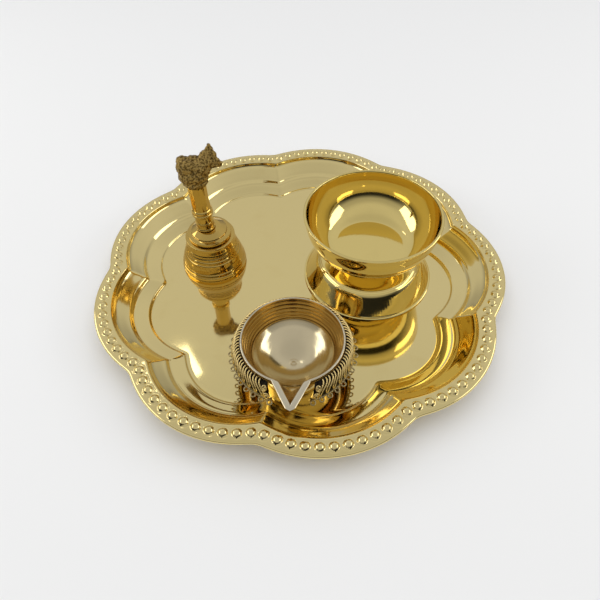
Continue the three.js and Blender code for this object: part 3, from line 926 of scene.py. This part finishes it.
def finial_lumps():
    """((x, y, z), radii) of the lumps that the rough crest is built from, over the handle's top."""
    return [
        ((0.0, -0.3, 1.4), (5.8, 5.0, 2.8)),
        ((-0.4, -0.5, 5.0), (6.9, 5.0, 4.8)),
        ((-2.2, 0.2, 9.2), (5.4, 4.6, 4.3)),
        ((2.6, 0.2, 8.4), (5.8, 4.4, 4.6)),
        ((-4.0, 1.4, 11.4), (3.4, 2.9, 2.3)),
        ((0.4, 1.6, 11.6), (3.8, 2.7, 2.1)),
        ((5.6, 1.2, 10.6), (4.2, 3.2, 4.2)),
        ((9.0, 1.6, 10.4), (3.6, 2.2, 3.0)),
        ((11.6, 1.8, 9.4), (2.0, 1.5, 1.7)),
        ((6.6, 2.2, 13.4), (3.4, 2.0, 3.0)),
        ((8.6, 2.4, 13.0), (2.8, 1.8, 3.2)),
        ((8.0, 3.0, 15.8), (2.0, 1.5, 2.3)),
        ((8.2, 3.3, 17.7), (1.0, 0.9, 1.3)),
    ]


def finial_blank(base):
    """The lumps merged into one even surface over the point `base`."""
    bm = bmesh.new()
    for middle, radii in finial_lumps():
        at = (base + Vector(middle)) * MM
        size = Matrix.Diagonal((*(Vector(radii) * MM), 1))
        bmesh.ops.create_icosphere(bm, subdivisions=4, radius=1, matrix=Matrix.Translation(at) @ size)
    raw = bpy.data.meshes.new("finial_lumps")
    bm.to_mesh(raw)
    bm.free()
    holder = bpy.data.objects.new("finial_lumps", raw)
    bpy.context.scene.collection.objects.link(holder)
    remesh = holder.modifiers.new("remesh", "REMESH")
    remesh.mode = "VOXEL"
    remesh.voxel_size = FINIAL_VOXEL * MM
    evened = holder.modifiers.new("even", "SMOOTH")
    evened.factor = 0.5
    evened.iterations = 5
    solid = holder.evaluated_get(bpy.context.evaluated_depsgraph_get())
    bm = bmesh.new()
    bm.from_mesh(solid.to_mesh())
    solid.to_mesh_clear()
    bpy.data.objects.remove(holder)
    return bm


def finial_mesh():
    """The crest: the blank roughened as an old casting is, and flat where it meets the handle."""
    shift = HANDLE_OFFSET + (HANDLE_HEIGHT - CROWN_HEIGHT) * HANDLE_LEAN
    base = BELL_AT + Vector((-shift, 0, HANDLE_HEIGHT + 0.3))
    bm = finial_blank(base)
    bm.normal_update()
    moves = []
    for vert in bm.verts:
        at = vert.co / MM
        coarse = noise.fractal(at * 0.5, 0.9, 2.1, 4)
        fine = noise.fractal(at * 1.9 + Vector((7, 3, 1)), 0.8, 2.0, 3)
        moves.append(vert.normal * (0.42 * coarse + 0.16 * fine - 0.1) * MM)
    for vert, move in zip(bm.verts, moves):
        vert.co += move
    for vert in bm.verts:
        vert.co.z = max(vert.co.z, base.z * MM)
    return bm


piece("bell_turned_dome", bell_dome_mesh(), "bell", BELL_BRASS, ["bell_dome"])
piece("bell_turned_handle", bell_handle_mesh(), "bell", BELL_BRASS, ["bell_handle"], sharp=22)
piece("bell_cast_crest", finial_mesh(), "bell", CAST_BRASS, ["bell_finial"], sharp=80)

for node in ("bell_hanger", "clapper_link", "clapper"):
    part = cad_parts[node]
    part.data.materials.clear()
    part.data.materials.append(BELL_BRASS)


# ---- Studio ----

FLOOR_COLOUR = (0.86, 0.857, 0.826, 1)
BACKDROP_COLOUR = (0.80, 0.80, 0.81, 1)
ROOM_TINT = (1.0, 1.01, 1.08, 1)


def pale_floor():
    mesh = bpy.data.meshes.new("studio_floor")
    reach = 3.0
    corners = [(x * reach, y * reach, 0) for x, y in ((-1, -1), (1, -1), (1, 1), (-1, 1))]
    mesh.from_pydata(corners, [], [(0, 1, 2, 3)])
    material = bpy.data.materials.new("studio_floor_paint")
    material.use_nodes = True
    shader = material.node_tree.nodes["Principled BSDF"]
    shader.inputs["Base Color"].default_value = FLOOR_COLOUR
    shader.inputs["Roughness"].default_value = 1.0
    shader.inputs["Specular IOR Level"].default_value = 0.0
    mesh.materials.append(material)
    floor = bpy.data.objects.new("studio_floor", mesh)
    floor.location.z = -0.0002
    bpy.context.scene.collection.objects.link(floor)


def direction(azimuth, elevation):
    """Unit vector; azimuth 0 is +Y, the far side, and 90 is +X."""
    a, e = math.radians(azimuth), math.radians(elevation)
    return Vector((math.sin(a) * math.cos(e), math.cos(a) * math.cos(e), math.sin(e)))


def softbox(name, azimuth, elevation, distance, width, height, radiance, colour=(1, 1, 1), glossy=True):
    """A rectangular light that faces the object."""
    light = bpy.data.lights.new(name, "AREA")
    light.shape = "RECTANGLE"
    light.size = width
    light.size_y = height
    light.energy = radiance * math.pi * width * height
    light.color = colour
    obj = bpy.data.objects.new(name, light)
    away = direction(azimuth, elevation)
    obj.location = away * distance
    obj.rotation_euler = away.to_track_quat("Z", "Y").to_euler()
    obj.visible_glossy = glossy
    bpy.context.scene.collection.objects.link(obj)


def level_ramp(tree, value, stops):
    """Grey levels along a value, eased from each (place, level) to the next."""
    node = tree.nodes.new("ShaderNodeValToRGB")
    node.color_ramp.interpolation = "EASE"
    elements = node.color_ramp.elements
    for element, (place, level) in zip(elements, (stops[0], stops[-1])):
        element.position = place
        element.color = (level, level, level, 1)
    for place, level in stops[1:-1]:
        elements.new(place).color = (level, level, level, 1)
    tree.links.new(value, node.inputs[0])
    return node.outputs["Color"]


def mixed(tree, factor, a, b, blend="MIX"):
    """A mix of two colours. Each of factor, a and b is a socket or a constant."""
    node = tree.nodes.new("ShaderNodeMix")
    node.data_type = "RGBA"
    node.blend_type = blend
    for name, value in (("Factor", factor), ("A", a), ("B", b)):
        if isinstance(value, bpy.types.NodeSocket):
            tree.links.new(value, node.inputs[name])
        else:
            node.inputs[name].default_value = value
    return node.outputs["Result"]


def room():
    """Pale upper room, dark low down on the near side; the camera itself sees an even pale backdrop."""
    world = bpy.data.worlds.new("room")
    world.use_nodes = True
    bpy.context.scene.world = world
    tree = world.node_tree
    where = tree.nodes.new("ShaderNodeTexCoord")
    split = tree.nodes.new("ShaderNodeSeparateXYZ")
    tree.links.new(where.outputs["Generated"], split.inputs[0])
    height = split.outputs["Z"]
    near = level_ramp(tree, height, [(0.0, 0.012), (0.27, 0.02), (0.46, 0.42), (0.66, 0.6), (1.0, 0.52)])
    far = level_ramp(tree, height, [(0.0, 0.2), (0.12, 0.4), (0.4, 0.58), (0.75, 0.63), (1.0, 0.52)])
    side = tree.nodes.new("ShaderNodeMapRange")
    side.interpolation_type = "SMOOTHSTEP"
    side.inputs["From Min"].default_value = -0.75
    side.inputs["From Max"].default_value = 0.1
    tree.links.new(split.outputs["Y"], side.inputs["Value"])
    walls = mixed(tree, side.outputs["Result"], near, far)
    tinted = mixed(tree, 1.0, walls, ROOM_TINT, "MULTIPLY")
    ray = tree.nodes.new("ShaderNodeLightPath")
    shown = mixed(tree, ray.outputs["Is Camera Ray"], tinted, BACKDROP_COLOUR)
    tree.links.new(shown, tree.nodes["Background"].inputs["Color"])


def camera():
    """The near, steep view: the lens stands about one tray's width from the set."""
    elevation = math.radians(50.14)
    roll = math.radians(-1.383)
    distance = 251.16
    target = Vector((-0.36, -21.99, TRAY_EDGE + 0.1))
    back = Vector((0, -math.cos(elevation), math.sin(elevation)))
    right = Vector((1, 0, 0))
    up = back.cross(right)
    turned_right = right * math.cos(roll) + up * math.sin(roll)
    turned_up = up * math.cos(roll) - right * math.sin(roll)
    data = bpy.data.cameras.new("camera")
    data.sensor_width = 36
    data.lens = 32.15
    data.clip_start = 0.005
    obj = bpy.data.objects.new("camera", data)
    axes = Matrix((turned_right, turned_up, back)).transposed().to_4x4()
    obj.matrix_world = Matrix.Translation((target + back * distance) * MM) @ axes
    bpy.context.scene.collection.objects.link(obj)
    bpy.context.scene.camera = obj


pale_floor()
room()
softbox("left_window", -88, 30, 0.7, 0.60, 0.20, 2.1)
softbox("right_window", 94, 30, 0.7, 0.56, 0.18, 2.1)
softbox("back_panel", -31.7, 55.8, 0.74, 0.05, 0.06, 2.4)
softbox("overhead_fill", 0, 89, 1.6, 2.4, 2.4, 0.81, glossy=False)
camera()
bpy.context.scene.view_settings.view_transform = "Standard"
